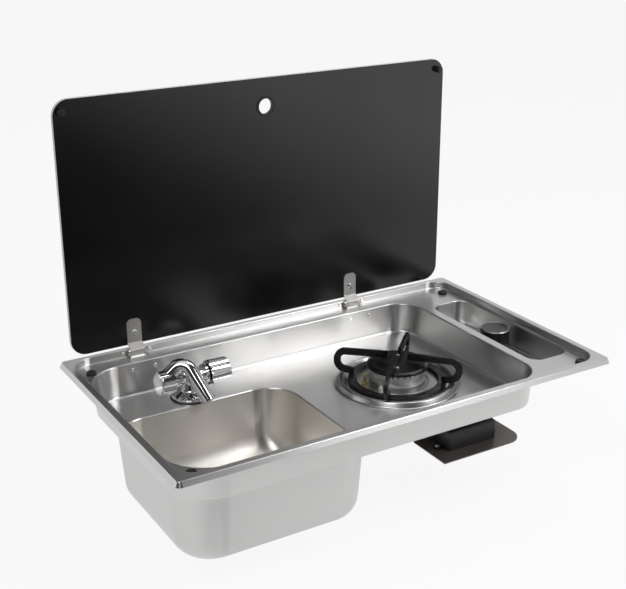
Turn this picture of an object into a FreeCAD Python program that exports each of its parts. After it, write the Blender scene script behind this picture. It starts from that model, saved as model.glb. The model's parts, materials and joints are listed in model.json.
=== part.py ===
import FreeCAD, Part
import math
import os

# Drop-in sink and stove for a motorhome kitchen: a pressed steel deck with a sink bowl, a low
# swing-spout tap, one gas burner, a gas knob in its own pocket and a hinged glass lid.
# Millimetres, +Z up, +Y to the back.  The origin lies on the worktop surface, midway along the deck.

V = FreeCAD.Vector

# Deck rim
deck_length = 630.0
deck_front = 188.5
deck_corner = 8.0
rim_height = 7.0
lip_flare = 3.0
lip_clearance = 0.5
sheet = 1.0

# Recess that the lid covers, measured in from the lip
recess_side = 13.0
recess_back = 10.5
recess_front = 12.5
recess_corner = 27.0
recess_depth = 10.0

# Main well, measured in from the lid recess
well_left = 6.0
side_deck = 80.5
well_back = 24.5
well_front = 14.0
well_draft = 6.0
well_draft_right = 1.5
well_corner_front_left = 60.0
well_corner_back_left = 50.0
well_corner_right = 40.0
well_depth = 56.0
well_fillet = 4.0

# Sink bowl
bowl_length = 252.0
bowl_width = 233.0
tap_shelf = 70.5
bowl_depth = 150.0
bowl_draft = 7.0
bowl_corner = 45.0
bowl_fillet = 30.0
mouth_bevel = 1.2
collar_drop = 3.0

# Knob pocket
pocket_edge = 4.0
pocket_width = 62.0
pocket_length = 232.0
pocket_shift = -10.0
pocket_corner = 18.0
pocket_depth = 44.0
pocket_draft = 1.5

# Bends of the pressed sheet, on the face that shows
rim_bend = 1.4
step_bend = 1.6
step_root = 2.0
pocket_root = 4.0

# Rim seal
seal_inset = 1.5
seal_width = 3.5

# Glass lid, standing open
lid_width = 594.0
lid_short = 7.0
lid_thickness = 5.0
lid_corner = 22.0
lid_lift = 3.7
lid_gap = 3.0
lid_edge = 0.6
finger_drop = 39.5
finger_hole = 10.6
grommet_wall = 1.8
grommet_flange = 1.8
grommet_proud = 1.0

# Lid rests
bumper_radius = 6.8
bumper_height = 4.4
bumper_side = 17.5
bumper_back = 30.5
bumper_front = 15.0
bumper_round = 1.2
bumper_dimple = 0.8
bumper_dimple_radius = 3.4
bumper_dimple_round = 0.4
pad_radius = 5.0
pad_side = 11.0
pad_drop = 15.7
pad_taper = 0.8
rest_gap = 0.3

# Lid hinges
hinge_inset_left = 106.6
hinge_inset_right = 178.4
pin_inset = 4.0
pin_drop = 6.0
pin_radius = 1.75
pin_head = 2.7
pin_head_length = 1.0
strap_width = 20.6
strap_sheet = 1.5
strap_leaf = 34.5
strap_start = 2.4
strap_bulge = 7.6
strap_knee = 6.0
strap_corner = 7.0
strap_bend = 2.2
screw_height = 17.0
ear_gap = 0.4
ear_sheet = 1.5
ear_reach = 3.4
bracket_sheet = 1.2
bracket_half = 25.0
bracket_leg = 19.0
slot_room = 1.5
rivet_radius = 1.6
rivet_head = 2.9
rivet_head_height = 1.1
rivet_crown = 2.2
rivet_round = 0.5
rivet_tail = 0.8
rivet_tail_radius = 2.2
rivet_spread_upper = 19.4
rivet_spread_lower = 16.5
rivet_drop_upper = 5.0
rivet_drop_lower = 10.0
running = 0.05
loose = 0.1

# Fasteners
glass_screw_radius = 2.4
glass_screw_head = 4.8
glass_screw_head_height = 2.2
glass_screw_crown = 3.8
glass_screw_round = 0.9
glass_screw_recess = 1.0
glass_screw_end = 4.0
glass_washer = 8.0
glass_washer_thickness = 1.2
glass_sleeve = 0.8
cap_nut_width = 8.0
cap_nut_hex_height = 3.5
cap_nut_radius = 4.2
cap_nut_height = 6.2
cap_nut_crown = 2.6
cap_nut_round = 1.5
small_screw_head_height = 1.6
small_screw_round = 0.6

# Tap
tap_inset_left = 129.0
tap_inset_back = 42.7
tap_base_radius = 27.0
tap_base_edge = 3.0
tap_base_round = 1.2
tap_shoulder = 5.0
tap_shoulder_height = 5.5
tap_flare = 4.0
tap_flare_height = 9.0
tap_waist_round = 3.0
tap_flare_round = 5.0
tap_gasket_thickness = 1.6
tap_gasket_rim = 1.0
tap_neck_radius = 9.0
tap_axis = 27.5
tap_shank_radius = 10.5
tap_shank_length = 34.0
tap_barrel_radius = 8.2
tap_barrel_left = 9.5
tap_barrel_right = 24.0
tap_collar_radius = 13.5
tap_collar_length = 6.0
tap_collar_edge = 1.2
grip_radius = 18.0
grip_length = 30.0
grip_lobes = 6
grip_scallop = 6.0
grip_scallop_depth = 2.6
grip_gap = 1.2
grip_lead = 1.5
grip_draft = 0.6
grip_crown = 4.0
grip_round = 2.0
grip_bore = 17.0
hub_start = 26.0
hub_length = 21.0
journal_radius = 5.5
journal_length = 9.0
spindle_radius = 4.5
spindle_reach = 12.0
spout_root_radius = 10.6
spout_tip_radius = 9.5
spout_root = (-36.0, 2.0, 32.0)
spout_knee = (-9.0, 0.0, 56.0)
spout_tip = (6.0, -43.0, 8.0)
spout_bend = 14.0
aerator_radius = 7.6
aerator_depth = 7.0
aerator_set = 0.8
aerator_wall = 1.6
aerator_bar = 1.0
aerator_bar_depth = 2.5
backnut_width = 32.0
backnut_height = 8.0
tap_washer_radius = 20.0
tap_washer_thickness = 1.5
water_tail_radius = 6.0
water_tail_length = 26.0
water_tail_wall = 1.5
water_tail_collar = 3.0

# Sink drain
drain_hole = 23.0
drain_flange = 31.0
drain_flange_thickness = 1.6
drain_body_radius = 22.0
drain_wall = 2.0
drain_body_length = 20.0
drain_bridge = 2.4
drain_lead = 3.0
drain_lead_depth = 2.0
drain_round = 1.0
drain_flange_round = 0.7
drain_gasket_thickness = 2.0
drain_nut_radius = 30.0
drain_nut_height = 7.0
drain_ribs = 8
drain_rib = 1.8
drain_rib_width = 5.0
waste_radius = 12.5
waste_length = 20.0
waste_wall = 2.0
waste_flange = 2.0
waste_round = 0.6
drain_slots = 8
drain_slot_start = 5.0
drain_slot_width = 2.4

# Burner
burner_inset = 121.0
burner_hole = 62.0
dish_radius = 87.0
dish_sheet = 1.2
dish_flat = 3.5
dish_crest = 7.4
dish_crest_radius = 80.0
dish_valley = 2.4
dish_valley_radius = 71.5
dish_crown = 4.0
dish_foot_bend = 1.6
dish_crest_bend = 2.0
dish_valley_bend = 2.4
dish_centre = 44.0
support_inner = 56.0
support_outer = 67.5
support_ring_height = 5.0
arm_count = 4
arm_plate = 4.2
arm_bar = 9.4
arm_reach = 89.0
arm_root = 61.0
arm_root_height = 10.5
arm_nose_height = 14.5
arm_top = 39.0
arm_inner = 14.0
arm_rise = 1.5
arm_nose = 12.0
support_edge = 0.8
cup_radius = 34.0
cup_depth = 28.0
cup_flange = 52.0
cup_boss = 38.0
cup_boss_height = 9.0
cup_foot = 7.0
cup_slope = 11.0
cup_foot_round = 4.0
cup_slope_round = 3.0
cup_flange_thickness = 2.4
cup_boss_round = 1.0
crown_radius = 36.5
crown_inner = 24.0
crown_height = 17.0
crown_slots = 28
crown_slot_width = 1.8
crown_slot_depth = 5.0
cap_radius = 42.0
cap_height = 5.5
cap_spigot = 5.0
cap_round = 0.8
cap_shoulder = 2.0
cap_slope = 4.0
cap_slope_round = 3.0
cap_screw_circle = 21.0
cap_screw_angle = 54.5
cap_screw_head = 2.6
cap_screw_crown = 2.0
cap_screw_radius = 1.6
mixer_drop = 16.0
mixer_radius = 9.0
mixer_bore = 6.8
mixer_reach = 84.0
mixer_bore_depth = 40.0
trumpet_length = 10.0
trumpet_flare = 4.0
jet_gap = 3.0
jet_radius = 3.0
jet_tip = 8.0
jet_hex = 13.0
jet_hex_length = 12.0
jet_bore = 0.8
probe_circle = 46.5
electrode_angle = 207.0
electrode_radius = 3.0
electrode_top = 13.0
electrode_bottom = -22.0
electrode_nose = 3.0
electrode_nose_taper = 1.2
electrode_wire = 0.9
electrode_wire_rise = 6.0
electrode_wire_reach = 4.5
thermocouple_angle = 163.0
thermocouple_radius = 2.0
thermocouple_top = 19.0
thermocouple_bottom = -26.0
thermocouple_tip = 3.0
thermocouple_tip_radius = 1.4
thermocouple_shoulder = 1.0
thermocouple_tip_round = 1.2
thermocouple_collar = 1.4
thermocouple_collar_height = 3.0

# Gas valve and knob
knob_inset = 29.5
knob_radius = 21.0
knob_height = 27.0
knob_clearance = 6.0
knob_travel = 4.0
knob_wall = 5.0
knob_cavity = 9.0
knob_chamfer = 1.4
knob_cavity_round = 2.0
knob_foot_round = 0.8
knob_ring = 0.8
knob_dish = 0.6
knob_crown = 4.0
valve_radius = 12.0
valve_length = 36.0
valve_round = 1.5
valve_flange = 3.0
valve_flange_thickness = 2.0
bushing_radius = 7.0
bushing_height = 6.5
bushing_round = 0.6
valve_nut_width = 19.0
valve_nut_height = 4.0
gas_spindle_radius = 3.5
chamber_radius = 8.0
chamber_roof = 8.0
chamber_floor = 4.0
plunger_thickness = 2.0
spring_radius = 5.7
spring_wire = 0.6
spring_turns = 5
port_radius = 6.0
port_reach = 19.0
pipe_radius = 4.0
pipe_nut_width = 14.0
pipe_nut_length = 9.0
pipe_engaged = 4.0
pipe_wall = 1.0
pipe_sizing = 0.2
inlet_length = 110.0

# Igniter tray under the burner
tray_left = 81.0
tray_length = 134.0
tray_front = -140.0
tray_width = 70.0
tray_depth = 114.0
tray_sheet = 1.5
tray_corner = 24.0
tray_flange = 16.0
tray_bend = 3.0
box_left = 23.0
box_front = 22.0
box_length = 78.0
box_width = 34.0
box_height = 27.0
box_round = 2.5
socket_count = 3
socket_radius = 2.6
socket_depth = 6.0
stud_radius = 2.0
stud_length = 9.0
stud_inset = 20.0
stud_nut_width = 7.0
stud_nut_height = 3.2
box_screw_radius = 2.0
box_screw_head = 3.6
box_screw_crown = 2.5
box_screw_end = 2.0
box_ear = 12.0
box_ear_height = 3.0


def grow(box, by):
    x0, x1, y0, y1 = box
    return (x0 - by, x1 + by, y0 - by, y1 + by)


def grow_radii(radii, by):
    return tuple(radius + by for radius in radii)


# Levels and plan outlines worked out from the sizes above
ledge_z = rim_height - recess_depth
floor_z = rim_height - well_depth
pocket_z = rim_height - pocket_depth
bowl_z = rim_height - bowl_depth
tray_z = rim_height - tray_depth
collar_z = floor_z - collar_drop

# The deck is as deep as its bowl, the shelf behind the bowl and the steps up to the rim
floor_front = recess_front + well_front + well_draft - deck_front
floor_back = floor_front + bowl_width + tap_shelf
deck_back = floor_back + well_back + recess_back
lip_box = (-deck_length / 2, deck_length / 2, -deck_front, deck_back)
top_box = grow(lip_box, -lip_flare)
lip_radii = (deck_corner,) * 4
top_radii = grow_radii(lip_radii, -lip_flare)

recess_box = (
    lip_box[0] + recess_side,
    lip_box[1] - recess_side,
    lip_box[2] + recess_front,
    lip_box[3] - recess_back,
)
recess_radii = (recess_corner,) * 4

well_box = (
    recess_box[0] + well_left,
    recess_box[1] - side_deck,
    recess_box[2] + well_front,
    recess_box[3] - well_back,
)
well_radii = (well_corner_front_left, well_corner_right, well_corner_right, well_corner_back_left)
floor_box = (
    well_box[0] + well_draft,
    well_box[1] - well_draft_right,
    well_box[2] + well_draft,
    well_box[3],
)
floor_radii = grow_radii(well_radii, -well_draft)

bowl_box = (
    floor_box[0],
    floor_box[0] + bowl_length,
    floor_box[2],
    floor_box[2] + bowl_width,
)
bowl_radii = (floor_radii[0], bowl_corner, bowl_corner, bowl_corner)
mouth_box = (bowl_box[0], bowl_box[1] + mouth_bevel, bowl_box[2], bowl_box[3] + mouth_bevel)
mouth_radii = (bowl_radii[0],) + grow_radii(bowl_radii[1:], mouth_bevel)
base_box = grow(bowl_box, -bowl_draft)
base_radii = grow_radii(bowl_radii, -bowl_draft)

pocket_box = (
    recess_box[1] - pocket_edge - pocket_width,
    recess_box[1] - pocket_edge,
    pocket_shift - pocket_length / 2,
    pocket_shift + pocket_length / 2,
)
pocket_radii = (pocket_corner,) * 4
pocket_floor_box = grow(pocket_box, -pocket_draft)
pocket_floor_radii = grow_radii(pocket_radii, -pocket_draft)

tap_x = floor_box[0] + tap_inset_left
tap_y = floor_box[3] - tap_inset_back
burner_x = floor_box[1] - burner_inset
burner_y = (floor_box[2] + floor_box[3]) / 2
knob_x = pocket_box[1] - knob_inset
knob_y = burner_y
drain_x = (bowl_box[0] + bowl_box[1]) / 2
drain_y = (bowl_box[2] + bowl_box[3]) / 2
gas_z = floor_z - mixer_drop

pin_y = recess_box[3] - pin_inset
pin_z = rim_height - pin_drop
lid_face = pin_y + rim_height + lid_gap - pin_z
lid_bottom = rim_height + lid_lift
lid_height = recess_box[3] - recess_box[2] - lid_short
hinge_places = {"left": lip_box[0] + hinge_inset_left, "right": lip_box[1] - hinge_inset_right}
screw_z = lid_bottom + screw_height
grip_start = tap_barrel_right + grip_gap


def rounded_wire(corners, place):
    # A closed outline through (u, v, radius) corners, each corner rounded to its own radius.
    runs = []
    for index, (u, v, radius) in enumerate(corners):
        before = corners[index - 1]
        after = corners[(index + 1) % len(corners)]
        back = FreeCAD.Vector(before[0] - u, before[1] - v, 0).normalize()
        on = FreeCAD.Vector(after[0] - u, after[1] - v, 0).normalize()
        here = V(u, v, 0)
        if radius == 0:
            runs.append((here, None, here))
            continue
        half = back.getAngle(on) / 2
        cut = radius / math.tan(half)
        middle = here + (back + on).normalize() * (radius / math.sin(half) - radius)
        runs.append((here + back * cut, middle, here + on * cut))
    edges = []
    for index, (enter, middle, leave) in enumerate(runs):
        previous = runs[index - 1][2]
        if previous.distanceToPoint(enter) > 1e-6:
            edges.append(Part.LineSegment(place(previous), place(enter)).toShape())
        if middle is not None:
            edges.append(Part.Arc(place(enter), place(middle), place(leave)).toShape())
    return Part.Wire(edges)


def strip(path, thickness):
    # The outline of a bent sheet: its middle line is given as (u, v, bend radius) points.
    points = [V(u, v, 0) for u, v, radius in path]
    ways = [(points[i + 1] - points[i]).normalize() for i in range(len(points) - 1)]
    sides = []
    for side in (1, -1):
        reach = side * thickness / 2
        line = []
        for index, point in enumerate(points):
            way_in = ways[max(index - 1, 0)]
            way_out = ways[min(index, len(ways) - 1)]
            normal_in = V(-way_in.y, way_in.x, 0)
            normal_out = V(-way_out.y, way_out.x, 0)
            shift = (normal_in + normal_out) * (reach / (1 + normal_in.dot(normal_out)))
            turn = math.copysign(1, way_in.cross(way_out).z)
            radius = path[index][2]
            if radius:
                radius -= turn * reach
            line.append((point.x + shift.x, point.y + shift.y, radius))
        sides.append(line)
    return sides[0] + sides[1][::-1]


def in_plan(z):
    return lambda point: V(point.x, point.y, z)


def in_side(x):
    return lambda point: V(x, point.x, point.y)


def in_section(point):
    return V(point.x, 0, point.y)


def plan_wire(box, radii, z):
    x0, x1, y0, y1 = box
    front_left, front_right, back_right, back_left = radii
    corners = [
        (x0, y0, front_left),
        (x1, y0, front_right),
        (x1, y1, back_right),
        (x0, y1, back_left),
    ]
    return rounded_wire(corners, in_plan(z))


def prism(box, radii, low, high):
    return Part.Face(plan_wire(box, radii, low)).extrude(V(0, 0, high - low))


def taper(low_box, low_radii, low, high_box, high_radii, high):
    wires = [plan_wire(low_box, low_radii, low), plan_wire(high_box, high_radii, high)]
    return Part.makeLoft(wires, True, True)


def round_level(solid, radius, z):
    edges = [e for e in solid.Edges if all(abs(v.Z - z) < 1e-6 for v in e.Vertexes)]
    return solid.makeFillet(radius, edges)


def round_mouth(solid, radius, box, z):
    # Rounds the edges at one level that run along the given plan outline.
    x0, x1, y0, y1 = box
    edges = []
    for edge in solid.Edges:
        if any(abs(v.Z - z) > 1e-6 for v in edge.Vertexes):
            continue
        ends = [(v.X, v.Y) for v in edge.Vertexes]
        near = [min(abs(x - x0), abs(x - x1), abs(y - y0), abs(y - y1)) < 1e-6 for x, y in ends]
        inside = [x0 - 1e-6 < x < x1 + 1e-6 and y0 - 1e-6 < y < y1 + 1e-6 for x, y in ends]
        if all(near) and all(inside):
            edges.append(edge)
    return solid.makeFillet(radius, edges)


def block(x0, x1, y0, y1, z0, z1):
    return Part.makeBox(x1 - x0, y1 - y0, z1 - z0, V(x0, y0, z0))


def rod(radius, start, end):
    return Part.makeCylinder(radius, start.distanceToPoint(end), start, end - start)


def upright(radius, x, y, low, high):
    return rod(radius, V(x, y, low), V(x, y, high))


def tube(outer, inner, start, end):
    return rod(outer, start, end).cut(rod(inner, start, end))


def turned(corners, x, y, z):
    # A solid of revolution about the upright axis through (x, y), from (radius, height, round) corners.
    solid = Part.Face(rounded_wire(corners, in_section)).revolve(V(0, 0, 0), V(0, 0, 1), 360)
    solid.translate(V(x, y, z))
    return solid


def extruded(corners, x0, x1):
    return Part.Face(rounded_wire(corners, in_side(x0))).extrude(V(x1 - x0, 0, 0))


def hexagon(width, start, way, length):
    corner = width / 2 / math.cos(math.pi / 6)
    points = [
        V(corner * math.cos(math.pi / 3 * i), corner * math.sin(math.pi / 3 * i), 0) for i in range(7)
    ]
    solid = Part.Face(Part.makePolygon(points)).extrude(V(0, 0, length))
    solid.Placement = FreeCAD.Placement(start, FreeCAD.Rotation(V(0, 0, 1), way))
    return solid


def nut(width, bore, start, way, length):
    hole = rod(bore, start - way * 1.0, start + way * (length + 1.0))
    return hexagon(width, start, way, length).cut(hole)


def joined(first, *others):
    return first.fuse(list(others)).removeSplitter()


def spread(shape, x, y, angle):
    copy = shape.copy()
    copy.rotate(V(x, y, 0), V(0, 0, 1), angle)
    return copy


def on_circle(x, y, radius, angle):
    turn = math.radians(angle)
    return x + radius * math.cos(turn), y + radius * math.sin(turn)


def deck_pan():
    skin = taper(lip_box, lip_radii, lip_clearance, top_box, top_radii, rim_height)
    hollow = taper(
        grow(lip_box, -sheet),
        grow_radii(lip_radii, -sheet),
        lip_clearance,
        grow(top_box, -sheet),
        grow_radii(top_radii, -sheet),
        rim_height - sheet,
    )
    recess = prism(
        grow(recess_box, sheet), grow_radii(recess_radii, sheet), ledge_z - sheet, rim_height - sheet
    )
    well = taper(
        grow(floor_box, sheet),
        grow_radii(floor_radii, sheet),
        floor_z - sheet,
        grow(well_box, sheet),
        grow_radii(well_radii, sheet),
        ledge_z - sheet,
    )
    well = round_level(well, well_fillet + sheet, floor_z - sheet)
    collar = prism(
        grow(bowl_box, sheet), grow_radii(bowl_radii, sheet), collar_z, floor_z + well_fillet + sheet
    )
    pocket = taper(
        grow(pocket_floor_box, sheet),
        grow_radii(pocket_floor_radii, sheet),
        pocket_z - sheet,
        grow(pocket_box, sheet),
        grow_radii(pocket_radii, sheet),
        ledge_z - sheet,
    )
    pocket = round_level(pocket, pocket_root + sheet, pocket_z - sheet)
    pan = skin.cut(hollow).fuse([recess, well, collar, pocket])
    recess_space = prism(recess_box, recess_radii, ledge_z, rim_height + sheet)
    recess_space = round_level(recess_space, step_root, ledge_z)
    well_space = taper(floor_box, floor_radii, floor_z, well_box, well_radii, ledge_z)
    well_space = round_level(well_space, well_fillet, floor_z)
    pocket_space = taper(
        pocket_floor_box, pocket_floor_radii, pocket_z, pocket_box, pocket_radii, ledge_z
    )
    pocket_space = round_level(pocket_space, pocket_root, pocket_z)
    pan = pan.cut([recess_space, well_space, pocket_space])
    pan = round_mouth(pan, step_bend, well_box, ledge_z)
    pan = round_mouth(pan, step_bend, pocket_box, ledge_z)
    pan = round_mouth(pan, rim_bend, recess_box, rim_height)
    pan = round_mouth(pan, rim_bend, top_box, rim_height)
    pan = pan.cut(bowl_mouth())
    holes = [
        upright(burner_hole, burner_x, burner_y, floor_z - 2 * sheet, floor_z + sheet),
        upright(tap_shank_radius + loose, tap_x, tap_y, floor_z - 2 * sheet, floor_z + sheet),
        upright(bushing_radius + loose, knob_x, knob_y, pocket_z - 2 * sheet, pocket_z + sheet),
    ]
    slot_half = strap_width / 2 + ear_gap + ear_sheet + pin_head_length + slot_room
    for x in hinge_places.values():
        slot_front = pin_y - ear_reach - slot_room
        slot_top = rim_height - sheet
        holes.append(
            block(x - slot_half, x + slot_half, slot_front, recess_box[3], ledge_z - 2 * sheet, slot_top)
        )
        holes.append(
            block(
                x - slot_half,
                x + slot_half,
                recess_box[3],
                recess_box[3] + sheet,
                ledge_z,
                slot_top,
            )
        )
        holes += rivet_shanks(x, rivet_radius + running)
    return pan.cut(holes).removeSplitter()


def bowl_mouth():
    # The opening over the bowl, with a bevelled edge where it leaves the flat floor.
    wires = [
        plan_wire(bowl_box, bowl_radii, collar_z - sheet),
        plan_wire(bowl_box, bowl_radii, floor_z - mouth_bevel),
        plan_wire(mouth_box, mouth_radii, floor_z),
        plan_wire(mouth_box, mouth_radii, floor_z + well_fillet + sheet),
    ]
    return Part.makeLoft(wires, True, True)


def sink_bowl():
    skin = taper(
        grow(base_box, sheet),
        grow_radii(base_radii, sheet),
        bowl_z,
        grow(bowl_box, sheet),
        grow_radii(bowl_radii, sheet),
        collar_z,
    )
    skin = round_level(skin, bowl_fillet + sheet, bowl_z)
    space = taper(base_box, base_radii, bowl_z + sheet, bowl_box, bowl_radii, collar_z)
    space = round_level(space, bowl_fillet, bowl_z + sheet)
    hole = upright(drain_hole, drain_x, drain_y, bowl_z - sheet, bowl_z + 3 * sheet)
    return skin.cut([space, hole])


def rim_seal():
    outer = grow(top_box, -seal_inset)
    radii = grow_radii(top_radii, -seal_inset)
    radii = tuple(max(radius, 1.0) for radius in radii)
    ring = prism(outer, radii, 0, rim_height - sheet)
    ring = ring.cut(prism(grow(outer, -seal_width), radii, 0, rim_height - sheet))
    gap = bracket_half + slot_room
    for x in hinge_places.values():
        ring = ring.cut(block(x - gap, x + gap, 0, lip_box[3], -sheet, rim_height))
    return ring


def lid_glass():
    box = (-lid_width / 2, lid_width / 2, lid_bottom, lid_bottom + lid_height)
    x0, x1, z0, z1 = box
    corners = [
        (x0, z0, lid_corner),
        (x1, z0, lid_corner),
        (x1, z1, lid_corner),
        (x0, z1, lid_corner),
    ]
    wire = rounded_wire(corners, lambda point: V(point.x, lid_face, point.y))
    glass = Part.Face(wire).extrude(V(0, lid_thickness, 0))
    back = lid_face + lid_thickness
    rims = [e for e in glass.Edges if all(abs(v.Y - lid_face) < 1e-6 for v in e.Vertexes)]
    rims += [e for e in glass.Edges if all(abs(v.Y - back) < 1e-6 for v in e.Vertexes)]
    glass = glass.makeChamfer(lid_edge, rims)
    holes = [rod(finger_hole + grommet_wall + loose, *through_glass(0, finger_z()))]
    for x in hinge_places.values():
        holes.append(rod(glass_screw_radius + glass_sleeve + loose, *through_glass(x, screw_z)))
    return glass.cut(holes)


def finger_z():
    return lid_bottom + lid_height - finger_drop


def through_glass(x, z):
    return V(x, lid_face - 1, z), V(x, lid_face + lid_thickness + 1, z)


def lid_grommet():
    outer = finger_hole + grommet_wall
    half = lid_thickness / 2
    reach = outer + grommet_flange
    corners = [
        (finger_hole, -half - grommet_proud, grommet_proud / 2),
        (reach, -half - grommet_proud, grommet_proud / 2),
        (reach, -half, 0),
        (outer, -half, 0),
        (outer, half, 0),
        (reach, half, 0),
        (reach, half + grommet_proud, grommet_proud / 2),
        (finger_hole, half + grommet_proud, grommet_proud / 2),
    ]
    ring = turned(corners, 0, 0, 0)
    ring.rotate(V(0, 0, 0), V(1, 0, 0), 90)
    ring.translate(V(0, lid_face + half, finger_z()))
    return ring


def bumper_places():
    sides = recess_box[1] - bumper_side
    back = recess_box[3] - bumper_back
    front = recess_box[2] + bumper_front
    return [(-sides, back), (sides, back), (-sides, front), (sides, front)]


def ledge_bumpers():
    corners = [
        (0, 0, 0),
        (bumper_radius, 0, 0),
        (bumper_radius - bumper_dimple, bumper_height, bumper_round),
        (bumper_dimple_radius, bumper_height, bumper_dimple_round),
        (bumper_dimple_radius - bumper_dimple, bumper_height - bumper_dimple, bumper_dimple_round),
        (0, bumper_height - bumper_dimple, 0),
    ]
    return Part.makeCompound([turned(corners, x, y, ledge_z) for x, y in bumper_places()])


def lid_pads():
    # Two feet near the free edge of the glass, which come down on the front bumpers.
    thickness = rim_height + lid_gap - ledge_z - bumper_height - rest_gap
    corners = [
        (0, 0, 0),
        (pad_radius, 0, 0),
        (pad_radius - pad_taper, thickness, pad_taper),
        (0, thickness, 0),
    ]
    pads = []
    for side in (-1, 1):
        pad = turned(corners, 0, 0, 0)
        pad.rotate(V(0, 0, 0), V(1, 0, 0), 90)
        pad.translate(
            V(side * (lid_width / 2 - pad_side), lid_face, lid_bottom + lid_height - pad_drop)
        )
        pads.append(pad)
    return Part.makeCompound(pads)


def hinge_strap(x):
    middle = lid_face - strap_sheet / 2
    leaf_low = lid_bottom + strap_start
    leaf_high = leaf_low + strap_leaf
    eye_inner = pin_radius + running
    eye_outer = eye_inner + strap_sheet
    front = pin_y - eye_outer + strap_sheet / 2
    path = [
        (middle, leaf_high, 0),
        (middle, leaf_low, strap_bend),
        (front, pin_z + strap_knee, strap_bend),
        (front, pin_z, 0),
    ]
    half = strap_width / 2
    leaf = extruded(strip(path, strap_sheet), x - half, x + half)
    corners = [
        e
        for e in leaf.Edges
        if all(abs(v.Z - leaf_high) < 1e-6 for v in e.Vertexes) and e.Length < 2 * strap_sheet
    ]
    leaf = leaf.makeFillet(strap_corner, corners)
    eye = rod(eye_outer, V(x - half, pin_y, pin_z), V(x + half, pin_y, pin_z))
    bore = rod(eye_inner, V(x - half - 1, pin_y, pin_z), V(x + half + 1, pin_y, pin_z))
    hole = rod(
        glass_screw_radius + loose, V(x, lid_face - 2 * strap_sheet, screw_z), V(x, lid_face, screw_z)
    )
    return joined(leaf, eye).cut([bore, hole])


def hinge_bracket(x):
    wall = well_box[3] + sheet
    step = recess_box[3] + sheet
    under = ledge_z - sheet
    corners = [
        (wall, under - bracket_leg, 0),
        (wall + bracket_sheet, under - bracket_leg, 0),
        (wall + bracket_sheet, under - bracket_sheet, 0),
        (step + bracket_sheet, under - bracket_sheet, 0),
        (step + bracket_sheet, rim_height - 2 * sheet, 0),
        (step, rim_height - 2 * sheet, 0),
        (step, under, 0),
        (wall, under, 0),
    ]
    plate = extruded(corners, x - bracket_half, x + bracket_half)
    inside = strap_width / 2 + ear_gap
    window = block(
        x - inside,
        x + inside,
        pin_y - ear_reach - slot_room,
        step + 2 * bracket_sheet,
        under - 2 * bracket_sheet,
        rim_height,
    )
    plate = plate.cut(window)
    ears = []
    for side in (-1, 1):
        x0 = x + side * inside
        x1 = x0 + side * ear_sheet
        low, high = sorted((x0, x1))
        foot = block(low, high, pin_y - ear_reach, pin_y + ear_reach, under, pin_z)
        ears += [foot, rod(ear_reach, V(low, pin_y, pin_z), V(high, pin_y, pin_z))]
    reach = bracket_half + 1
    bore = rod(pin_radius + running, V(x - reach, pin_y, pin_z), V(x + reach, pin_y, pin_z))
    return joined(plate, *ears).cut([bore] + rivet_shanks(x, rivet_radius + running))


def hinge_pins():
    pins = []
    for x in hinge_places.values():
        half = strap_width / 2 + ear_gap + ear_sheet
        pin = rod(pin_radius, V(x - half, pin_y, pin_z), V(x + half, pin_y, pin_z))
        heads = []
        for side in (-1, 1):
            start = V(x + side * half, pin_y, pin_z)
            heads.append(rod(pin_head, start, start + V(side * pin_head_length, 0, 0)))
        pins.append(joined(pin, *heads))
    return Part.makeCompound(pins)


def rivet_lines(x):
    # Inner face and outer face points of each rivet of one hinge bracket.
    wall = well_box[3]
    step = recess_box[3]
    upper = rim_height - rivet_drop_upper
    lower = ledge_z - rivet_drop_lower
    lines = []
    for spread_x, y, z in (
        (rivet_spread_upper, step, upper),
        (rivet_spread_lower, wall, lower),
    ):
        for side in (-1, 1):
            start = V(x + side * spread_x, y, z)
            lines.append((start, start + V(0, sheet + bracket_sheet, 0)))
    return lines


def rivet_shanks(x, radius):
    return [rod(radius, start, end) for start, end in rivet_lines(x)]


def hinge_rivets():
    rivets = []
    corners = [
        (0, 0, 0),
        (rivet_head, 0, 0),
        (rivet_crown, rivet_head_height, rivet_round),
        (0, rivet_head_height, 0),
    ]
    for x in hinge_places.values():
        for start, end in rivet_lines(x):
            head = turned(corners, 0, 0, 0)
            head.rotate(V(0, 0, 0), V(1, 0, 0), 90)
            head.translate(start)
            shank = rod(rivet_radius, start, end)
            foot = rod(rivet_tail_radius, end, end + V(0, rivet_tail, 0))
            rivets.append(joined(shank, head, foot))
    return Part.makeCompound(rivets)


def strap_screws():
    screws = []
    for x in hinge_places.values():
        face = lid_face - strap_sheet
        back = lid_face + lid_thickness + glass_washer_thickness
        corners = [
            (0, 0, 0),
            (glass_screw_head, 0, 0),
            (glass_screw_crown, glass_screw_head_height, glass_screw_round),
            (0, glass_screw_head_height, 0),
        ]
        head = turned(corners, 0, 0, 0)
        head.rotate(V(0, 0, 0), V(1, 0, 0), 90)
        head.translate(V(x, face, screw_z))
        shank = rod(glass_screw_radius, V(x, face, screw_z), V(x, back + glass_screw_end, screw_z))
        slot = block(
            x - glass_screw_recess / 2,
            x + glass_screw_recess / 2,
            face - glass_screw_head_height,
            face - glass_screw_head_height / 2,
            screw_z - glass_screw_head,
            screw_z + glass_screw_head,
        )
        cross = slot.copy()
        cross.rotate(V(x, face, screw_z), V(0, 1, 0), 90)
        screws.append(joined(shank, head).cut([slot, cross]))
    return Part.makeCompound(screws)


def glass_washers():
    # A plastic washer on the back of the glass, with a sleeve that lines the hole in the glass.
    washers = []
    for x in hinge_places.values():
        back = lid_face + lid_thickness
        bore = glass_screw_radius + running
        plate = tube(
            glass_washer, bore, V(x, back, screw_z), V(x, back + glass_washer_thickness, screw_z)
        )
        sleeve = tube(
            glass_screw_radius + glass_sleeve, bore, V(x, lid_face, screw_z), V(x, back, screw_z)
        )
        washers.append(joined(plate, sleeve))
    return Part.makeCompound(washers)


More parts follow.
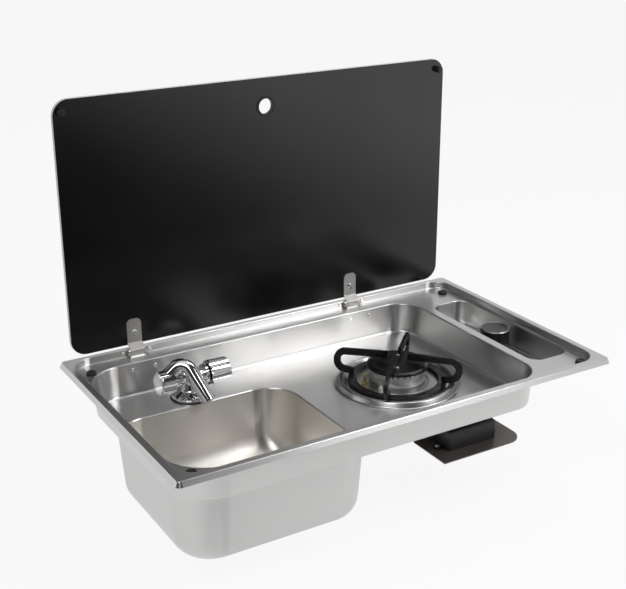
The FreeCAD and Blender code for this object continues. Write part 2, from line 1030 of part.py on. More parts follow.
def strap_nuts():
    nuts = []
    for x in hinge_places.values():
        start = lid_face + lid_thickness + glass_washer_thickness
        dome = [
            (0, 0, 0),
            (cap_nut_radius, 0, 0),
            (cap_nut_radius, cap_nut_hex_height, 0),
            (cap_nut_crown, cap_nut_height, cap_nut_round),
            (0, cap_nut_height, 0),
        ]
        cap = turned(dome, 0, 0, 0)
        cap.rotate(V(0, 0, 0), V(1, 0, 0), -90)
        cap.translate(V(x, start, screw_z))
        base = hexagon(cap_nut_width, V(x, start, screw_z), V(0, 1, 0), cap_nut_hex_height)
        bore_end = V(x, start + glass_screw_end + loose, screw_z)
        bore = rod(glass_screw_radius + running, V(x, start - 1, screw_z), bore_end)
        nuts.append(joined(cap, base).cut(bore))
    return Part.makeCompound(nuts)


def tap_point(offset):
    return V(tap_x + offset[0], tap_y + offset[1], floor_z + offset[2])


def tap_gasket():
    return tube(
        tap_base_radius + tap_gasket_rim,
        tap_shank_radius + loose,
        tap_point((0, 0, 0)),
        tap_point((0, 0, tap_gasket_thickness)),
    )


def tap_body():
    low = tap_gasket_thickness
    corners = [
        (0, -tap_shank_length, 0),
        (tap_shank_radius, -tap_shank_length, 0),
        (tap_shank_radius, low, 0),
        (tap_base_radius, low, 0),
        (tap_base_radius, low + tap_base_edge, tap_base_round),
        (tap_base_radius - tap_shoulder, low + tap_shoulder_height, tap_waist_round),
        (tap_neck_radius + tap_flare, low + tap_flare_height, tap_flare_round),
        (tap_neck_radius, tap_axis - tap_barrel_radius, tap_waist_round),
        (tap_neck_radius - tap_flare / 2, tap_axis, 0),
        (0, tap_axis, 0),
    ]
    column = turned(corners, tap_x, tap_y, floor_z)
    left = tap_point((-tap_barrel_left, 0, tap_axis))
    right = tap_point((tap_barrel_right, 0, tap_axis))
    barrel = rod(tap_barrel_radius, left, right)
    collar = rod(tap_collar_radius, right - V(tap_collar_length, 0, 0), right)
    ends = [e for e in collar.Edges if len(e.Vertexes) == 1]
    collar = collar.makeChamfer(tap_collar_edge, ends)
    body = joined(column, barrel, collar)
    journal = rod(journal_radius + running, left - V(1, 0, 0), left + V(journal_length + loose, 0, 0))
    spindle = rod(spindle_radius + running, right + V(1, 0, 0), right - V(spindle_reach + loose, 0, 0))
    return body.cut([journal, spindle])


def grip(start, length):
    # A fluted hand grip about the tap's cross axis, from x = start outwards.
    corners = [
        (0, 0, 0),
        (grip_radius - grip_lead, 0, 0),
        (grip_radius, grip_lead, 0),
        (grip_radius - grip_draft, length - grip_round, grip_round),
        (grip_radius - grip_crown, length, grip_round),
        (0, length, 0),
    ]
    body = turned(corners, 0, 0, 0)
    centre = grip_radius + grip_scallop - grip_scallop_depth
    flutes = []
    for index in range(grip_lobes):
        x, y = on_circle(0, 0, centre, 360.0 / grip_lobes * (index + 0.5))
        flutes.append(upright(grip_scallop, x, y, -1, length + 1))
    body = body.cut(flutes)
    body.rotate(V(0, 0, 0), V(0, 1, 0), math.copysign(90, start))
    body.translate(tap_point((start, 0, tap_axis)))
    return body


def tap_knob():
    hole_start = tap_point((grip_start - 1, 0, tap_axis))
    hole_end = tap_point((grip_start + grip_bore, 0, tap_axis))
    hole = rod(spindle_radius + running, hole_start, hole_end)
    return grip(grip_start, grip_length).cut(hole)


def tap_spindle():
    start = tap_point((tap_barrel_right - spindle_reach, 0, tap_axis))
    end = tap_point((grip_start + grip_bore, 0, tap_axis))
    return rod(spindle_radius, start, end)


def spout_path():
    # Straight run up from the hub, one round bend over the barrel, straight run down to the outlet.
    root, knee, tip = [tap_point(point) for point in (spout_root, spout_knee, spout_tip)]
    back = (root - knee).normalize()
    on = (tip - knee).normalize()
    half = back.getAngle(on) / 2
    cut = spout_bend / math.tan(half)
    middle = knee + (back + on).normalize() * (spout_bend / math.sin(half) - spout_bend)
    enter, leave = knee + back * cut, knee + on * cut
    edges = [
        Part.LineSegment(root, enter).toShape(),
        Part.Arc(enter, middle, leave).toShape(),
        Part.LineSegment(leave, tip).toShape(),
    ]
    return Part.Wire(edges), -back, on


def tap_spout():
    path, way_in, way_out = spout_path()
    root, tip = tap_point(spout_root), tap_point(spout_tip)
    ring_in = Part.Wire(Part.makeCircle(spout_root_radius, root, way_in))
    ring_out = Part.Wire(Part.makeCircle(spout_tip_radius, tip, way_out))
    sweep = Part.BRepOffsetAPI.MakePipeShell(path)
    sweep.add(ring_in)
    sweep.add(ring_out)
    sweep.build()
    sweep.makeSolid()
    limb = Part.Solid(sweep.shape())
    knuckle = Part.makeSphere(spout_root_radius, root)
    neck_start = tap_point((-tap_barrel_left - rest_gap, 0, tap_axis))
    neck = rod(tap_barrel_radius, neck_start, tap_point((-hub_start - 1, 0, tap_axis)))
    journal = rod(journal_radius, neck_start + V(journal_length, 0, 0), neck_start)
    hub = grip(-hub_start, hub_length)
    body = joined(hub, neck, journal, knuckle, limb)
    mouth = rod(aerator_radius + running, tip + way_out, tip - way_out * aerator_depth)
    return body.cut(mouth)


def spout_aerator():
    path, way_in, way_out = spout_path()
    tip = tap_point(spout_tip) - way_out * aerator_set
    inner = tap_point(spout_tip) - way_out * aerator_depth
    ring = tube(aerator_radius, aerator_radius - aerator_wall, tip, inner)
    reach = aerator_radius - aerator_wall / 2
    bars = []
    for angle in (0, 60, 120):
        bar = block(-reach, reach, -aerator_bar / 2, aerator_bar / 2, 0, aerator_bar_depth)
        bar.rotate(V(0, 0, 0), V(0, 0, 1), angle)
        bar.Placement = FreeCAD.Placement(inner, FreeCAD.Rotation(V(0, 0, 1), way_out)).multiply(
            bar.Placement
        )
        bars.append(bar)
    return joined(ring, *bars)


def tap_washer():
    top = -sheet
    return tube(
        tap_washer_radius,
        tap_shank_radius + loose,
        tap_point((0, 0, top - tap_washer_thickness)),
        tap_point((0, 0, top)),
    )


def tap_backnut():
    top = tap_point((0, 0, -sheet - tap_washer_thickness))
    return nut(backnut_width, tap_shank_radius + running, top, V(0, 0, -1), backnut_height)


def water_tail():
    top = tap_point((0, 0, -tap_shank_length))
    hose_bore = water_tail_radius - water_tail_wall
    under = top - V(0, 0, water_tail_collar)
    collar = tube(tap_shank_radius - water_tail_wall, hose_bore, top, under)
    tail = tube(water_tail_radius, hose_bore, under, under - V(0, 0, water_tail_length))
    return joined(collar, tail)


def drain_body():
    # Strainer cup: flange on the bowl's floor, straight wall through it and a slotted bottom.
    inner = drain_body_radius - drain_wall
    top = sheet + drain_flange_thickness
    low = sheet - drain_body_length
    corners = [
        (0, low, 0),
        (drain_body_radius, low, drain_round),
        (drain_body_radius, sheet, 0),
        (drain_flange, sheet, 0),
        (drain_flange, top, drain_flange_round),
        (inner + drain_lead, top, drain_round),
        (inner, sheet - drain_lead_depth, drain_round),
        (inner, low + drain_bridge, drain_round),
        (0, low + drain_bridge, 0),
    ]
    cup = turned(corners, drain_x, drain_y, bowl_z)
    slots = []
    for index in range(drain_slots):
        slot = block(
            drain_x + drain_slot_start,
            drain_x + waste_radius - waste_wall - 1,
            drain_y - drain_slot_width / 2,
            drain_y + drain_slot_width / 2,
            bowl_z + low - 1,
            bowl_z + low + drain_bridge + 1,
        )
        slots.append(spread(slot, drain_x, drain_y, 360.0 / drain_slots * index))
    return cup.cut(slots)


def drain_gasket():
    return tube(
        drain_nut_radius,
        drain_body_radius + loose,
        V(drain_x, drain_y, bowl_z - drain_gasket_thickness),
        V(drain_x, drain_y, bowl_z),
    )


def drain_nut():
    top = bowl_z - drain_gasket_thickness
    ring = tube(
        drain_nut_radius,
        drain_body_radius + running,
        V(drain_x, drain_y, top - drain_nut_height),
        V(drain_x, drain_y, top),
    )
    ribs = []
    for index in range(drain_ribs):
        rib = block(
            drain_x + drain_nut_radius - 1,
            drain_x + drain_nut_radius + drain_rib,
            drain_y - drain_rib_width / 2,
            drain_y + drain_rib_width / 2,
            top - drain_nut_height,
            top,
        )
        ribs.append(spread(rib, drain_x, drain_y, 360.0 / drain_ribs * index))
    return joined(ring, *ribs)


def waste_tail():
    top = bowl_z + sheet - drain_body_length
    corners = [
        (waste_radius - waste_wall, -waste_flange - waste_length, 0),
        (waste_radius, -waste_flange - waste_length, waste_round),
        (waste_radius, -waste_flange, 0),
        (drain_body_radius - 1, -waste_flange, waste_round),
        (drain_body_radius - 1, 0, 0),
        (waste_radius - waste_wall, 0, 0),
    ]
    return turned(corners, drain_x, drain_y, top)


def burner_dish():
    half = dish_sheet / 2
    path = [
        (dish_radius, half, 0),
        (dish_radius - dish_flat, half, dish_foot_bend),
        (dish_crest_radius, dish_crest, dish_crest_bend),
        (dish_crest_radius - dish_crown, dish_crest, dish_crest_bend),
        (dish_valley_radius, dish_valley, dish_valley_bend),
        (dish_centre, dish_valley, 0),
    ]
    dish = turned(strip(path, dish_sheet), burner_x, burner_y, floor_z)
    return dish.cut(probe_holes(loose))


def probe_holes(room):
    holes = []
    for angle, radius in (
        (electrode_angle, electrode_radius),
        (thermocouple_angle, thermocouple_radius),
    ):
        x, y = on_circle(burner_x, burner_y, probe_circle, angle)
        holes.append(upright(radius + room, x, y, floor_z - cup_depth, floor_z + dish_crest))
    return holes


def pan_support():
    seat = dish_valley + dish_sheet / 2
    low = V(burner_x, burner_y, floor_z + seat)
    ring = tube(support_outer, support_inner, low, low + V(0, 0, support_ring_height))
    edges = [e for e in ring.Edges if len(e.Vertexes) == 1 and e.Vertexes[0].Z > low.z + 1]
    ring = ring.makeChamfer(support_edge, edges)
    reach = arm_reach - arm_bar / 2
    path = [
        (arm_root, arm_root_height, 0),
        (reach, arm_nose_height, arm_nose),
        (reach, arm_top, arm_nose),
        (arm_inner, arm_top + arm_rise, 0),
    ]
    arm = Part.Face(rounded_wire(strip(path, arm_bar), in_section)).extrude(V(0, arm_plate, 0))
    arm.translate(V(burner_x, burner_y - arm_plate / 2, floor_z))
    arms = []
    for index in range(arm_count):
        arms.append(spread(arm, burner_x, burner_y, 45.0 + 360.0 / arm_count * index))
    return joined(ring, *arms)


def burner_cup():
    under = dish_valley - dish_sheet / 2
    corners = [
        (0, -cup_depth, 0),
        (cup_radius - cup_foot, -cup_depth, cup_foot_round),
        (cup_radius, -cup_depth + cup_slope, cup_slope_round),
        (cup_radius, under - cup_flange_thickness, 0),
        (cup_flange, under - cup_flange_thickness, 0),
        (cup_flange, under, 0),
        (cup_boss, under, 0),
        (cup_boss, cup_boss_height, cup_boss_round),
        (0, cup_boss_height, 0),
    ]
    cup = turned(corners, burner_x, burner_y, floor_z)
    start = V(burner_x, burner_y, gas_z)
    end = V(burner_x + mixer_reach, burner_y, gas_z)
    trumpet = Part.makeCone(
        mixer_radius,
        mixer_radius + trumpet_flare,
        trumpet_length,
        end - V(trumpet_length, 0, 0),
        V(1, 0, 0),
    )
    bore = rod(mixer_bore, end + V(1, 0, 0), end - V(mixer_bore_depth, 0, 0))
    return joined(cup, rod(mixer_radius, start, end), trumpet).cut([bore] + probe_holes(running))


def flame_crown():
    low = V(burner_x, burner_y, floor_z + cup_boss_height)
    top = low + V(0, 0, crown_height)
    crown = tube(crown_radius, crown_inner, low, top)
    slots = []
    for index in range(crown_slots):
        slot = block(
            burner_x + crown_inner - 1,
            burner_x + crown_radius + 1,
            burner_y - crown_slot_width / 2,
            burner_y + crown_slot_width / 2,
            top.z - crown_slot_depth,
            top.z + 1,
        )
        slots.append(spread(slot, burner_x, burner_y, 360.0 / crown_slots * (index + 0.5)))
    return crown.cut(slots)


def cap_level():
    return cup_boss_height + crown_height


def burner_cap():
    low = cap_level()
    spigot = crown_inner - running
    corners = [
        (0, low - cap_spigot, 0),
        (spigot, low - cap_spigot, cap_round),
        (spigot, low, 0),
        (cap_radius, low, cap_round),
        (cap_radius, low + cap_height - cap_shoulder, cap_round),
        (cap_radius - cap_slope, low + cap_height, cap_slope_round),
        (0, low + cap_height, 0),
    ]
    cap = turned(corners, burner_x, burner_y, floor_z)
    holes = []
    for x, y in cap_screw_places():
        bottom = floor_z + low - cap_spigot - 1
        top = floor_z + low + cap_height + 1
        holes.append(upright(cap_screw_radius + running, x, y, bottom, top))
    return cap.cut(holes)


def cap_screw_places():
    return [
        on_circle(burner_x, burner_y, cap_screw_circle, cap_screw_angle + turn) for turn in (0, 180)
    ]


def cap_screws():
    screws = []
    for x, y in cap_screw_places():
        top = floor_z + cap_level() + cap_height
        corners = [
            (0, 0, 0),
            (cap_screw_head, 0, 0),
            (cap_screw_crown, small_screw_head_height, small_screw_round),
            (0, small_screw_head_height, 0),
        ]
        head = turned(corners, x, y, top)
        shank = upright(cap_screw_radius, x, y, top - cap_height - cap_spigot, top)
        screws.append(joined(shank, head))
    return Part.makeCompound(screws)


def spark_electrode():
    x, y = on_circle(burner_x, burner_y, probe_circle, electrode_angle)
    corners = [
        (0, electrode_bottom, 0),
        (electrode_radius, electrode_bottom, 0),
        (electrode_radius, electrode_top - electrode_nose, 0),
        (electrode_radius - electrode_nose_taper, electrode_top, 0),
        (0, electrode_top, 0),
    ]
    return turned(corners, x, y, floor_z)


def spark_wire():
    x, y = on_circle(burner_x, burner_y, probe_circle, electrode_angle)
    inward = V(burner_x - x, burner_y - y, 0).normalize()
    start = V(x, y, floor_z + electrode_top)
    knee = start + V(0, 0, electrode_wire_rise)
    post = rod(electrode_wire, start, knee)
    tip = rod(electrode_wire, knee, knee + inward * electrode_wire_reach)
    return joined(post, tip, Part.makeSphere(electrode_wire, knee))


def thermocouple():
    x, y = on_circle(burner_x, burner_y, probe_circle, thermocouple_angle)
    corners = [
        (0, thermocouple_bottom, 0),
        (thermocouple_radius, thermocouple_bottom, 0),
        (thermocouple_radius, thermocouple_top - thermocouple_tip - thermocouple_shoulder, 0),
        (thermocouple_tip_radius, thermocouple_top - thermocouple_tip, 0),
        (thermocouple_tip_radius, thermocouple_top, thermocouple_tip_round),
        (0, thermocouple_top, 0),
    ]
    seat = floor_z + dish_valley + dish_sheet / 2
    collar = upright(thermocouple_radius + thermocouple_collar, x, y, seat, seat + thermocouple_collar_height)
    return joined(turned(corners, x, y, floor_z), collar)


def gas_point(x):
    return V(x, burner_y, gas_z)


def jet_start():
    return burner_x + mixer_reach + jet_gap


def gas_jet():
    start = gas_point(jet_start())
    body = hexagon(jet_hex, start, V(1, 0, 0), jet_hex_length)
    tip = rod(jet_radius, start - V(jet_tip, 0, 0), start)
    bore = rod(jet_bore, start - V(jet_tip + 1, 0, 0), start + V(1, 0, 0))
    return joined(body, tip).cut(bore)


def burner_pipe():
    start = gas_point(jet_start() + jet_hex_length)
    end = gas_point(knob_x - port_reach)
    return tube(pipe_radius, pipe_radius - pipe_wall, start, end)


def pipe_nuts():
    bore = pipe_radius + running
    start = gas_point(jet_start() + jet_hex_length)
    end = gas_point(knob_x - port_reach)
    inlet = V(knob_x, knob_y + port_reach, gas_z)
    return Part.makeCompound(
        [
            nut(pipe_nut_width, bore, start, V(1, 0, 0), pipe_nut_length),
            nut(pipe_nut_width, bore, end, V(-1, 0, 0), pipe_nut_length),
            nut(pipe_nut_width, bore, inlet, V(0, 1, 0), pipe_nut_length),
        ]
    )


def gas_inlet_pipe():
    # The end that sits in the nut is sized down a little.
    bore = pipe_radius - pipe_wall
    face = V(knob_x, knob_y + port_reach + pipe_nut_length, gas_z)
    pipe = tube(pipe_radius, bore, face, face + V(0, inlet_length, 0))
    spigot = tube(pipe_radius - pipe_sizing, bore, face - V(0, pipe_engaged, 0), face)
    return joined(pipe, spigot)


def valve_top():
    return pocket_z - sheet


def chamber_levels():
    return valve_top() - valve_length + chamber_floor, valve_top() - chamber_roof


def gas_valve():
    top = valve_top()
    corners = [
        (0, -valve_length, 0),
        (valve_radius, -valve_length, valve_round),
        (valve_radius, -valve_flange_thickness, 0),
        (valve_radius + valve_flange, -valve_flange_thickness, 0),
        (valve_radius + valve_flange, 0, 0),
        (bushing_radius, 0, 0),
        (bushing_radius, sheet + bushing_height, bushing_round),
        (0, sheet + bushing_height, 0),
    ]
    body = turned(corners, knob_x, knob_y, top)
    middle = V(knob_x, knob_y, gas_z)
    ports = [
        rod(port_radius, middle, middle - V(port_reach, 0, 0)),
        rod(port_radius, middle, middle + V(0, port_reach, 0)),
    ]
    low, high = chamber_levels()
    spaces = [
        upright(chamber_radius, knob_x, knob_y, low, high),
        upright(gas_spindle_radius + running, knob_x, knob_y, low, top + sheet + bushing_height + 1),
        rod(pipe_radius - pipe_wall, middle, middle - V(port_reach + 1, 0, 0)),
        rod(pipe_radius - pipe_wall, middle, middle + V(0, port_reach + 1, 0)),
    ]
    return joined(body, *ports).cut(spaces)


def valve_nut():
    start = V(knob_x, knob_y, pocket_z)
    return nut(valve_nut_width, bushing_radius + running, start, V(0, 0, 1), valve_nut_height)


def knob_low():
    return pocket_z + knob_clearance


def gas_knob():
    low = knob_low()
    inner = knob_radius - knob_wall
    corners = [
        (gas_spindle_radius + running, knob_cavity, 0),
        (inner, knob_cavity, knob_cavity_round),
        (inner, 0, 0),
        (knob_radius, 0, knob_foot_round),
        (knob_radius, knob_height - knob_chamfer, 0),
        (knob_radius - knob_chamfer, knob_height, 0),
        (knob_radius - knob_chamfer - knob_ring, knob_height - knob_dish, 0),
        (0, knob_height - knob_dish, 0),
        (0, knob_height - knob_crown, 0),
        (gas_spindle_radius + running, knob_height - knob_crown, 0),
    ]
    return turned(corners, knob_x, knob_y, low)


def valve_spindle():
    low, high = chamber_levels()
    top = knob_low() + knob_height - knob_crown - rest_gap
    return upright(gas_spindle_radius, knob_x, knob_y, low + knob_travel + 1, top)


def valve_plunger():
    low, high = chamber_levels()
    top = V(knob_x, knob_y, high - rest_gap)
    bottom = top - V(0, 0, plunger_thickness)
    return tube(chamber_radius - loose, gas_spindle_radius + running, bottom, top)


def valve_spring():
    low, high = chamber_levels()
    start = low + spring_wire + loose
    end = high - rest_gap - plunger_thickness - spring_wire - loose
    helix = Part.makeHelix((end - start) / spring_turns, end - start, spring_radius)
    path = Part.Wire(helix.Edges)
    ring = Part.Wire(Part.makeCircle(spring_wire, V(spring_radius, 0, 0), V(0, 1, 0)))
    coil = path.makePipeShell([ring], True, True)
    coil.translate(V(knob_x, knob_y, start))
    return coil


def igniter_tray():
    back = tray_front + tray_width
    top = floor_z - sheet
    half = tray_sheet / 2
    path = [
        (tray_front, tray_z + half, 0),
        (back - half, tray_z + half, tray_bend),
        (back - half, top - half, tray_bend),
        (back - tray_flange, top - half, 0),
    ]
    tray = extruded(strip(path, tray_sheet), tray_left, tray_left + tray_length)
    nose = [
        e
        for e in tray.Edges
        if all(abs(v.Y - tray_front) < 1e-6 and v.X > tray_left + 1 for v in e.Vertexes)
        and e.Length < 2 * tray_sheet
    ]
    tray = tray.makeFillet(tray_corner, nose)
    holes = [upright(stud_radius + loose, x, y, top - 3 * tray_sheet, top + 1) for x, y in stud_places()]
    holes += [
        upright(box_screw_radius + loose, x, y, tray_z - 1, tray_z + 2 * tray_sheet)
        for x, y in box_screw_places()
    ]
    return tray.cut(holes)


def stud_places():
    y = tray_front + tray_width - tray_flange / 2 - tray_bend / 2
    return [(tray_left + stud_inset, y), (tray_left + tray_length - stud_inset, y)]


def tray_studs():
    top = floor_z - sheet
    return Part.makeCompound(
        [upright(stud_radius, x, y, top - stud_length, top) for x, y in stud_places()]
    )


def tray_nuts():
    start = floor_z - sheet - tray_sheet
    return Part.makeCompound(
        [
            nut(stud_nut_width, stud_radius + running, V(x, y, start), V(0, 0, -1), stud_nut_height)
            for x, y in stud_places()
        ]
    )


def box_corner():
    return tray_left + box_left, tray_front + box_front, tray_z + tray_sheet


def box_screw_places():
    x, y, z = box_corner()
    middle = y + box_width / 2
    return [(x - box_ear / 2, middle), (x + box_length + box_ear / 2, middle)]


def igniter_box():
    x, y, z = box_corner()
    shell = block(x, x + box_length, y, y + box_width, z, z + box_height)
    rounded = [e for e in shell.Edges if min(v.Z for v in e.Vertexes) > z + 1]
    rounded += [e for e in shell.Edges if abs(e.Vertexes[0].Z - e.Vertexes[-1].Z) > 1]
    shell = shell.makeFillet(box_round, rounded)
    middle = y + box_width / 2
    ears = []
    for ear_x, ear_y in box_screw_places():
        end = upright(box_ear / 2, ear_x, ear_y, z, z + box_ear_height)
        inner = x + 1 if ear_x < x else x + box_length - 1
        low, high = sorted((ear_x, inner))
        ears += [end, block(low, high, middle - box_ear / 2, middle + box_ear / 2, z, z + box_ear_height)]
    holes = [
        upright(box_screw_radius + loose, hole_x, hole_y, z - 1, z + box_ear_height + 1)
        for hole_x, hole_y in box_screw_places()
    ]
    sockets = []
    for index in range(socket_count):
        socket_x = x + box_length * (index + 1) / (socket_count + 1)
        mouth = V(socket_x, y + box_width, z + box_height / 2)
        sockets.append(rod(socket_radius, mouth - V(0, socket_depth, 0), mouth + V(0, 1, 0)))
    return joined(shell, *ears).cut(holes + sockets)


def box_screws():
    x, y, z = box_corner()
    screws = []
    for sx, sy in box_screw_places():
        top = z + box_ear_height
        corners = [
            (0, 0, 0),
            (box_screw_head, 0, 0),
            (box_screw_crown, small_screw_head_height, small_screw_round),
            (0, small_screw_head_height, 0),
        ]
        head = turned(corners, sx, sy, top)
        screws.append(joined(upright(box_screw_radius, sx, sy, tray_z - box_screw_end, top), head))
    return Part.makeCompound(screws)


def build():
    parts = {
        "deck_pan": deck_pan(),
        "sink_bowl": sink_bowl(),
        "rim_seal": rim_seal(),
        "lid_glass": lid_glass(),
        "lid_grommet": lid_grommet(),
        "lid_pads": lid_pads(),
        "ledge_bumpers": ledge_bumpers(),
        "hinge_pins": hinge_pins(),
        "hinge_rivets": hinge_rivets(),
        "strap_screws": strap_screws(),
        "glass_washers": glass_washers(),
        "strap_nuts": strap_nuts(),
        "tap_gasket": tap_gasket(),
        "tap_body": tap_body(),
        "tap_spout": tap_spout(),
        "spout_aerator": spout_aerator(),
        "tap_knob": tap_knob(),
        "tap_spindle": tap_spindle(),
        "tap_washer": tap_washer(),
        "tap_backnut": tap_backnut(),
        "water_tail": water_tail(),
        "drain_body": drain_body(),
        "drain_gasket": drain_gasket(),
        "drain_nut": drain_nut(),
        "waste_tail": waste_tail(),
        "burner_dish": burner_dish(),
        "pan_support": pan_support(),
        "burner_cup": burner_cup(),
        "flame_crown": flame_crown(),
        "burner_cap": burner_cap(),
        "cap_screws": cap_screws(),
        "spark_electrode": spark_electrode(),
        "spark_wire": spark_wire(),
        "thermocouple": thermocouple(),
        "gas_jet": gas_jet(),
        "burner_pipe": burner_pipe(),
        "pipe_nuts": pipe_nuts(),
        "gas_inlet_pipe": gas_inlet_pipe(),
        "gas_valve": gas_valve(),
        "valve_nut": valve_nut(),
        "valve_spindle": valve_spindle(),
        "valve_plunger": valve_plunger(),
        "valve_spring": valve_spring(),
        "gas_knob": gas_knob(),
        "igniter_tray": igniter_tray(),
        "igniter_box": igniter_box(),
        "box_screws": box_screws(),
        "tray_studs": tray_studs(),
        "tray_nuts": tray_nuts(),
    }
    for side, x in hinge_places.items():
        parts["hinge_strap_" + side] = hinge_strap(x)
        parts["hinge_bracket_" + side] = hinge_bracket(x)
    return parts


os.makedirs("parts", exist_ok=True)
for name, shape in build().items():
    shape.exportStep(os.path.join("parts", name + ".step"))
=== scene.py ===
import json
import math

import bpy
from mathutils import Matrix, Vector


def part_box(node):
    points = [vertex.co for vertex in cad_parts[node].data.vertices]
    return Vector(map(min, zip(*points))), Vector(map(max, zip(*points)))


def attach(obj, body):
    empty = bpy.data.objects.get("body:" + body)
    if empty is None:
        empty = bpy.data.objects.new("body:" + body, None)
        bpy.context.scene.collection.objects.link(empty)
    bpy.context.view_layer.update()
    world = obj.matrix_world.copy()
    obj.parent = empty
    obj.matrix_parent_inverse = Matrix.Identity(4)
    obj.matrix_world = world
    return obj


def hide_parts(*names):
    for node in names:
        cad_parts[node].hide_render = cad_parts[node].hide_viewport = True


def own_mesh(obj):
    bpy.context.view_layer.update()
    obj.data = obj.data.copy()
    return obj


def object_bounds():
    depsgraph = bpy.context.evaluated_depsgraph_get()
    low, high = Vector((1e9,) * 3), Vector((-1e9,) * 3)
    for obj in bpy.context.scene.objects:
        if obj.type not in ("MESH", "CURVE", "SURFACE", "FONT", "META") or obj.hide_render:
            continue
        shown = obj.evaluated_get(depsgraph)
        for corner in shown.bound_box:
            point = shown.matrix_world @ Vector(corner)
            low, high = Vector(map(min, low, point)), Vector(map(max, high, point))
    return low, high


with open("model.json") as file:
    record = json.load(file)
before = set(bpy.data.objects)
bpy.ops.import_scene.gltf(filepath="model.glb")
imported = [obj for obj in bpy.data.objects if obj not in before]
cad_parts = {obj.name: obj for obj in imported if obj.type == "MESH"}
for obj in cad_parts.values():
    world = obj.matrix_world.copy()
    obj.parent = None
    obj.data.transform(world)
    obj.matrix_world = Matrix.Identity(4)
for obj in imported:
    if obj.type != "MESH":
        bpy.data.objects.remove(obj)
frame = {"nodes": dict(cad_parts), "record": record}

cad_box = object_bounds()
nodes = frame["nodes"]

# Camera fitted to the corners of the deck and the lid
image_width = 626.0
focal_pixels = 1154.3
sensor_width = 36.0
camera_place = Vector((-0.7396, -1.1803, 0.6296))
camera_yaw = math.radians(30.92)
camera_pitch = math.radians(20.88)
camera_roll = math.radians(-0.17)
nearest_seen = 0.01
farthest_seen = 50.0

# Floor and background
floor_gap = 0.002
floor_size = 12.0
floor_colour = (0.85, 0.85, 0.85)
floor_roughness = 0.9
floor_seen_shade = 0.1
floor_mirrored_shade = 0.35
background_white = 1.0
ambient_colour = (1.0, 0.985, 0.97)
ambient_strength = 0.3

# What shiny surfaces see of the studio. Each span runs from where a change starts to where it ends,
# in parts of a unit direction for the room and in metres for the floor.
studio_dim = 0.04
right_sweep = 0.7
ceiling_glow = 0.7
sweep_behind_span = (-0.1, 0.35)
sweep_right_span = (0.1, 0.6)
sweep_top_span = (0.38, 0.58)
ceiling_span = (0.88, 0.97)
floor_dim = 0.04
floor_bright_side = 1.5
floor_near_span = (-0.68, -0.56)
floor_right_span = (0.45, 1.3)

# Lamps: name, place, size, watts
lamp_aim = Vector((0.0, 0.0, 0.0))
lamps = (
    ("key_softbox", (-1.3, -1.1, 1.9), (1.0, 1.0), 16.0),
    ("fill_softbox", (1.2, -1.4, 1.6), (0.7, 0.8), 15.0),
    ("top_softbox", (1.2, 0.1, 2.0), (0.7, 1.6), 9.0),
)

# Materials
noise_span = (0.3, 0.7)
bump_depth = 0.0002
sheet_colour = (0.68, 0.675, 0.67)
# Painted warm reflection for the faces inside the bowl, lighter and warmer than the sheet
bowl_painted_reflection_colour = (0.75, 0.725, 0.685)
grain_along_x = (30, 3200, 3200)
grain_along_z = (2500, 2500, 60)
sheet_across = (0.0, 1.0, 0.9)
even = (1, 1, 1)


def centre_of(node):
    low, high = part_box(node)
    return (low + high) / 2


burner_centre = centre_of("burner_cap")
knob_centre = centre_of("gas_knob")
knob_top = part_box("gas_knob")[1].z


def make_camera():
    data = bpy.data.cameras.new("photo_camera")
    data.sensor_fit = "HORIZONTAL"
    data.sensor_width = sensor_width
    data.lens = sensor_width * focal_pixels / image_width
    data.clip_start = nearest_seen
    data.clip_end = farthest_seen
    camera = bpy.data.objects.new("photo_camera", data)
    bpy.context.scene.collection.objects.link(camera)
    level = Vector((math.sin(camera_yaw), math.cos(camera_yaw), 0))
    side = Vector((math.cos(camera_yaw), -math.sin(camera_yaw), 0))
    up = Vector((0, 0, 1))
    forward = level * math.cos(camera_pitch) - up * math.sin(camera_pitch)
    over = level * math.sin(camera_pitch) + up * math.cos(camera_pitch)
    right = side * math.cos(camera_roll) + over * math.sin(camera_roll)
    top = over * math.cos(camera_roll) - side * math.sin(camera_roll)
    turn = Matrix((right, top, -forward)).transposed().to_4x4()
    camera.matrix_world = Matrix.Translation(camera_place) @ turn
    bpy.context.scene.camera = camera


def add_node(tree, kind, **settings):
    made = tree.nodes.new(kind)
    for key, value in settings.items():
        setattr(made, key, value)
    return made


def link(tree, source, target):
    tree.links.new(source, target)


def math_node(tree, operation, first, second):
    made = add_node(tree, "ShaderNodeMath", operation=operation)
    for socket, value in zip(made.inputs, (first, second)):
        if isinstance(value, (int, float)):
            socket.default_value = value
        else:
            link(tree, value, socket)
    return made.outputs[0]


def vector_node(tree, operation, first, second):
    # The second operand is a fixed vector.
    made = add_node(tree, "ShaderNodeVectorMath", operation=operation)
    link(tree, first, made.inputs[0])
    made.inputs[1].default_value = second
    return made.outputs["Vector"]


def ranged(tree, value, low, high, span=noise_span):
    # Low where value is at the span's start, high at its end.
    made = add_node(tree, "ShaderNodeMapRange")
    link(tree, value, made.inputs["Value"])
    made.inputs["From Min"].default_value = span[0]
    made.inputs["From Max"].default_value = span[1]
    made.inputs["To Min"].default_value = low
    made.inputs["To Max"].default_value = high
    return made.outputs["Result"]


def mixed(tree, factor, first, second):
    made = add_node(tree, "ShaderNodeMix", data_type="RGBA")
    colours = [socket for socket in made.inputs if socket.type == "RGBA"]
    link(tree, factor, made.inputs["Factor"])
    for socket, value in zip(colours, (first, second)):
        if isinstance(value, tuple):
            socket.default_value = (*value, 1.0)
        else:
            link(tree, value, socket)
    return [socket for socket in made.outputs if socket.type == "RGBA"][0]


def shade(colour, factor):
    return tuple(min(channel * factor, 1.0) for channel in colour)


def varied(tree, factor, colour, less, more):
    return mixed(tree, factor, shade(colour, less), shade(colour, more))


